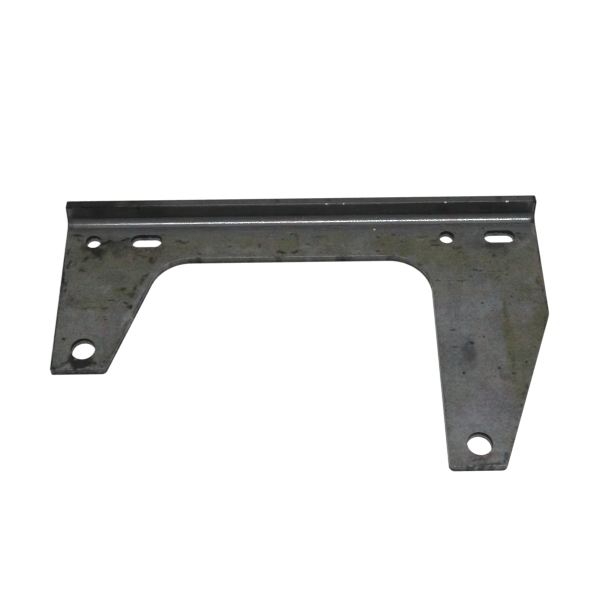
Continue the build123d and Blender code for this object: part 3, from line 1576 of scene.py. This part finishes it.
def cross_plate_stains() -> List[Stain]:
    """Marks on the cross plate between the legs, from left to right."""
    return [
        *patches(
            Tone.OIL,
            (-58, -5, 12, 8, 0, 0.95),
            (-44, -3, 10, 6, 0, 0.8),
            (-30, -6, 9, 4, 0, 0.7),
            (-11, -3, 10, 6, 0, 0.9),
            (8, -3, 9, 6.5, 0, 1.15),
            (-18, -4, 20, 6, 0, 0.65),
            (37, -1, 8, 4, 0, 1.1),
            (50, -5, 7, 5, 0, 0.7),
            (10, -10, 50, 3, 0, 0.6),
            (-60, -12, 6, 4),
            (65, -10, 9, 3),
            (67, -4, 10, 6, 0, 1.25),
            (78, -8, 10, 6, -20, 1.3),
            (86, -14, 12, 7, -40, 1.1),
            (90, -4, 14, 6),
        ),
        *patches(
            Tone.BARE_AND_SHEEN,
            (-20, -3.6, 4, 0.5),
            (-20, -7.5, 7, 2.5, 0, 0.7),
            (-11, -8, 6, 2, 0, 0.8),
            (-17, -11.9, 13, 0.5),
            (24, -8, 8, 3, 0, 0.8),
            (30, -11.9, 12, 0.5, 0, 0.9),
            (49, -5.5, 6, 4, 0, 0.95),
            (48.5, -10, 2.4, 0.7, 35, 1.3),
            (57.5, -11.4, 2.2, 0.6, 20, 0.8),
            (69, -8.3, 3, 1.6, 0, 0.4),
            (84, -1.8, 4, 0.6, 0, 0.9),
            (-34, -7, 4, 2, 0, 0.7),
        ),
        *patches(
            Tone.RUST,
            (-55, -11.5, 3.5, 3, 0, 1.1),
            (-45.5, -3.5, 3.5, 3, 0, 1.1),
            (-37.5, 5, 3.5, 1.2, 0, 0.9),
            (-31.5, 3, 2.5, 3),
            (-5, 4.6, 5, 1, 0, 0.7),
            (0.5, -3.5, 2.5, 4.5, 0, 1.2),
            (17.5, 0, 3.5, 4.5, 0, 1.1),
            (30, -5, 5, 3, 0, 0.6),
            (61, -9.8, 3.4, 2, 0, 1.2),
            (74.5, -2.5, 1.6, 2.6, 20),
        ),
        *patches(
            Tone.DARK,
            # Left third
            (-62, 3.5, 2.2, 1.8, 0, 0.6),
            (-65, -9, 4.5, 4, 0, 0.6),
            (-49.5, -1.2, 3.8, 1.1, -5),
            (-56, -15, 1.36, 0.85, 20, 0.5),
            (-39.5, -10, 1.1, 0.85),
            (-41, -13.2, 3.6, 0.55, 0, 0.95),
            (-46, -13.2, 3, 0.59, 0, 0.8),
            (-26.8, -1.2, 0.72, 0.5, 0, 0.8),
            (-23.4, -5.3, 1.1, 0.77),
            # Middle third
            (-5.6, -4.3, 1.5, 1.9, 0, 0.8),
            (-1.8, 1.8, 0.5, 0.86, 0, 0.9),
            (7.4, 0.2, 0.58, 0.5, 0, 1.1),
            (12, 3.6, 0.86, 0.65, 0, 1.2),
            (6, -9.2, 3.4, 1.3, -8, 1.1),
            (14, -9, 3.2, 1.2, 15, 1.2),
            (3.5, -12.0, 7, 0.7, 0, 0.85),
            (-9, -13.2, 5, 0.5, 0, 0.6),
            (15, 0.5, 2.2, 4, 0, 0.6),
            (21, -4.3, 0.86, 0.86, 0, 0.8),
            (28, 1.4, 4.2, 0.51, -2, 0.8),
            (40, -13.0, 7.5, 0.45, 0, 0.8),
            # Right third and the corner of the bay
            (55.4, -11.8, 0.5, 1.08, -25, 1.1),
            (57.8, -4.5, 0.45, 0.94, 0, 0.8),
            (61.5, 0.3, 1.53, 0.59, 0, 1.1),
            (63.5, -4.7, 0.65, 0.5),
            (60.6, -9.6, 1.27, 0.68, 0, 1.2),
            (70, 2.2, 1.1, 0.77, 0, 1.1),
            (73, 1.6, 0.72, 0.43),
            (74.6, -3, 0.45, 1.01, 15),
            (66, 0.5, 1.7, 0.42, 0, 0.7),
            (68, -13.0, 5.5, 0.6, 0, 0.65),
            (86, 0.2, 5.5, 0.42, 0, 0.95),
            (93.2, -2.6, 2.4, 1.3, 0, 0.8),
            (105.5, -7.5, 3.8, 1.6, -10, 0.9),
            (93, -5.8, 3.2, 1.0, 0, 0.8),
            (83, -18.5, 3, 0.68, -42, 0.8),
            (87.7, -27, 0.85, 4, 12, 0.7),
        ),
    ]


def right_leg_stains() -> List[Stain]:
    """Marks on the long leg, from the bolt row down to the foot."""
    return [
        *patches(
            Tone.OIL,
            (101, -17, 16, 12, -6, 0.95),
            (122, -20, 12, 9, 0, 0.8),
            (138, -18, 13, 11, 0, 0.9),
            (92, -32, 7, 16, 0, 0.65),
            (107, -36, 10, 8, 0, 0.6),
            (105, -9.5, 3.5, 3, 0, 1.4),
            (147, -12, 3, 4.5, 0, 1.5),
            (142, -40, 8, 10),
            (148, -22, 4, 12, 0, 0.8),
            (126, -28, 4, 4),
            (149, -34, 2.5, 12, 0, 1.2),
            (148, -54, 3, 9, -6, 2.0),
            (97, -36, 7, 5, 0, 0.6),
            (127.6, -68, 2.4, 32, 0.5, 1.45, 0.5),
            (142, -64, 6, 9, -20, 1.2),
            (137, -80, 6.5, 15, -20, 1.0, 0.6),
            (131, -98, 3.2, 10, -20, 1.05, 0.6),
            (131.6, -76, 4.2, 22, -4, 1.05, 0.4),
        ),
        *patches(
            Tone.BARE_AND_SHEEN,
            # The broad rows are worn bare steel and partly painted sheen: with them the long leg
            # grows lighter towards the right and the foot, as the light falls from the right
            (112, -43, 15, 13, 0, 0.72),
            (106, -68, 18, 20, 0, 0.55),
            (108, -98, 19, 26, 0, 0.66),
            (107, -128, 18, 22),
            (93, -132, 5, 10, 0, 0.9),
            (144, -30, 6, 3, 0, 0.4),
            (144, -4.8, 3.5, 1.6, 0, 0.6),
            (137, -51, 8, 6, 0, 0.5),
            (107, -34.5, 0.8, 3.5, -15, 1.4),
            (104.6, -48.5, 0.8, 2.4, 0, 1.2),
            (93, -46, 6, 30, 0, 0.8),
            (101, -27, 12, 9, 0, 0.6),
            (147, -34, 4, 9, 0, 0.75),
            (90, -20, 4, 5, -40, 0.7),
            (92, -108, 4, 28, 0, 0.5),
            (132.2, -72, 1.2, 10, 0, 0.8),
            (113, -12, 2.5, 0.6, 20, 0.9),
            (108, -17, 2, 0.6, -20, 0.9),
        ),
        *patches(
            Tone.RUST,
            (138, -22.5, 3.5, 4, 0, 1.2),
            (148, -22.5, 2, 4, 0, 1.3),
            (148.5, -43, 2.2, 3.5, 0, 1.4),
            (135.5, -55, 4, 6),
            (137, -68, 4, 6, 0, 1.1),
            (125.5, -103, 3.5, 8, 0, 0.8),
            (112.5, -99, 1.6, 4, 15, 0.8),
            (122, -132, 2.5, 5, 0, 1.1),
            (106, -139.5, 7, 2.4, 0, 1.2),
            (92, -143, 2, 2, 0, 0.9),
            (130, -42, 3, 3, 0, 0.6),
        ),
        *patches(
            Tone.DARK,
            # Along the edges
            (150.6, -47, 0.68, 6),
            (148.4, -59, 0.68, 5, -20, 0.9),
            (151, -15, 0.68, 14, 0, 0.9),
            (90.2, -60, 0.5, 20, 0, 0.5),
            (90.1, -110, 0.5, 28, 0, 0.55),
            # Round the bolt row
            (108, 0.5, 0.85, 1.36, 0, 0.6),
            (127, -7.8, 11, 3.2, -2, 0.75),
            (142, -0.6, 3.2, 1.6, 0, 0.7),
            (123.3, -6, 1.8, 1.8, 0, 0.85),
            (125.3, -12.8, 1.36, 0.59, 10, 1.2),
            (123.2, -17.8, 0.79, 1.01, -25, 0.9),
            (108.6, -19.6, 0.72, 0.72, 0, 1.1),
            (106, -11, 3.0, 1.2, 0, 0.6),
            (141, 1.7, 1.7, 0.77, 0, 1.1),
            (145, 1.6, 1.36, 0.59, 0, 0.9),
            (134.5, -17, 4, 0.68, -14, 0.75),
            (131.5, -21.5, 1.8, 2.4, 0, 0.5),
            (126, -11.5, 8, 2.4, 0, 0.6),
            (124.3, -24.2, 5.5, 0.42),
            (115.5, -23.7, 3, 0.59, -14, 1.1),
            # Down to the shoulder
            (111, -27.8, 1.36, 0.68, 10, 0.9),
            (106, -30, 3.4, 0.77, 0, 0.95),
            (98, -30.5, 4, 0.51, 0, 0.7),
            (92.8, -30.5, 1.7, 0.77, 0, 1.1),
            (131.2, -27, 0.72, 0.72, 0, 1.1),
            (126.8, -29, 1.4, 1.8, 0, 0.5),
            (135, -37, 1.53, 0.85, 0, 0.6),
            (132.4, -41.5, 0.65, 0.58, 0, 1.1),
            (136.5, -43.5, 2.6, 1.6, 0, 0.45),
            (131, -46.5, 0.72, 1.01, 0, 0.8),
            (148.6, -31, 1.1, 5, 3, 0.6),
            (149.5, -38, 0.85, 4, 0, 0.8),
            (115.7, -45.6, 0.86, 0.65, 0, 1.5),
            (116, -48, 1.36, 0.4, 0, 0.9),
            (127.4, -52, 0.9, 8, 3, 0.5),
            # Down the taper
            (128, -80, 0.9, 13, 1, 0.55),
            (97.9, -63.2, 1.87, 0.59, 0, 1.1),
            (100, -60.4, 0.65, 0.5, 0, 0.9),
            (114.6, -67.5, 0.65, 0.86, 0, 1.3),
            (107.4, -71.3, 1.53, 0.77, 0, 1.3),
            (98.5, -73.8, 2.8, 0.42),
            (108, -73.9, 2.04, 0.42, 0, 1.1),
            (105.8, -77, 3.0, 11, 0, 0.75, 0.5),
            (102.4, -82, 3.2, 8, 0, 0.6),
            (105, -68, 4, 5, 0, 0.4),
            (105.5, -85, 2.8, 5, 0, 0.45),
            (123, -93.5, 6, 3.0, -30, 0.5),
            (101.3, -89.8, 0.86, 0.94, 0, 1.5),
            (121, -87.8, 0.79, 0.72, 0, 1.5),
            (117.3, -92.5, 0.5, 0.58, 0, 1.1),
            (128, -90.6, 0.86, 0.65, 0, 1.1),
            (135.5, -84, 0.72, 0.86, 0, 1.1),
            (141.5, -74.5, 0.72, 0.65),
            (133.6, -99.3, 1.2, 1.8, -20),
            (131.6, -104, 1.0, 3.4, -20, 0.65),
            (129.6, -110, 0.77, 1.53, -20, 1.3),
            # On the foot
            (105, -122.5, 7, 3, 0, 0.5),
            (118, -141, 1.4, 5, -20, 0.9),
            (125.4, -123.2, 1.53, 0.85, 0, 0.7),
            (124.8, -118, 1.6, 2.0, 0, 0.5),
            (122.8, -131, 0.68, 4, -20, 0.75),
            (104.5, -140.5, 5.5, 1.6, 0, 0.75),
            (110, -143.6, 9, 1.3),
            (110.2, -138.4, 1.36, 0.77, 0, 0.9),
            (99, -143.2, 5, 0.7, 0, 0.7),
            (104, -144.8, 13, 0.8, 0, 0.95),
            (110, -132, 0.85, 5, 0, 0.6),
        ),
    ]


def punch_stains() -> List[Stain]:
    """Patches on the skin that faces up."""
    return bend_stains() + left_leg_stains() + cross_plate_stains() + right_leg_stains()


def die_stains() -> List[Stain]:
    """Patches on the skin that lies down: oil, dark stains, and the lines that the bending die
    leaves.
    """
    return [
        *patches(
            Tone.OIL,
            (-90, -20, 16, 12, 20),
            (110, -70, 14, 24, -10),
            (-30, -4, 22, 6, 0, 0.9),
            (60, -6, 18, 6, 0, 0.8),
            (135, -30, 9, 16),
            (-100, -62, 12, 10, 0, 0.7),
            (106, -120, 10, 14, 0, 0.8),
            (-70, 20, 20, 4, 0, 0.8),
            (90, 21, 26, 3, 0, 0.7),
        ),
        *patches(
            Tone.BARE_AND_SHEEN,
            (15, 6, 130, 0.9),
            (15, 19, 130, 0.9),
            (18, 12.5, 900, 1.6, 0, 0.55, 0.3),
            (-108, -45, 5, 12, 0, 0.7),
            (104, -95, 9, 14, 0, 0.7),
            (140, -60, 3, 10, -10, 0.8),
            (30, -9, 12, 2, 0, 0.7),
        ),
        *patches(
            Tone.RUST,
            (-80, -12, 5, 4),
            (0, -5, 6, 3, 0, 0.9),
            (112, -30, 5, 6, 0, 0.9),
            (-20, 15, 8, 3, 0, 0.8),
            (122, -104, 3, 7, -15, 0.9),
        ),
        *patches(
            Tone.DARK,
            (-98, -7, 4, 3.4, 10, 1.1),
            (-74, -38, 3, 2, -20, 0.9),
            (20, -6, 5, 1.2, 5, 0.9),
            (85, -12, 3, 2, -30),
            (118, -52, 2, 3, 0, 1.1),
            (128, -88, 3, 4, -20, 0.8),
            (100, -139, 6, 2, 0, 0.9),
            (-60, 17, 5, 1.5, 0, 0.8),
            (40, 20, 9, 1, 0, 0.7),
            (120, 16, 4, 1.6, 0, 0.9),
            (18, 24.9, 900, 1.2, 0, 0.7, 0.0),
        ),
    ]


def main() -> None:
    """Loads the frame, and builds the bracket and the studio."""
    logging.basicConfig(level=logging.INFO, format="%(name)s: %(message)s")
    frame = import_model()
    bracket = BracketPlate(
        frame["record"], stains={Skin.PUNCH: punch_stains(), Skin.DIE: die_stains()}
    )
    plate = bracket.build()
    plate.data.materials.append(MillSteel().material())
    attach(plate, BODY)
    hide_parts(NODE)
    Studio().build()
    LOG.info("sizes written")


if __name__ == "__main__":
    main()
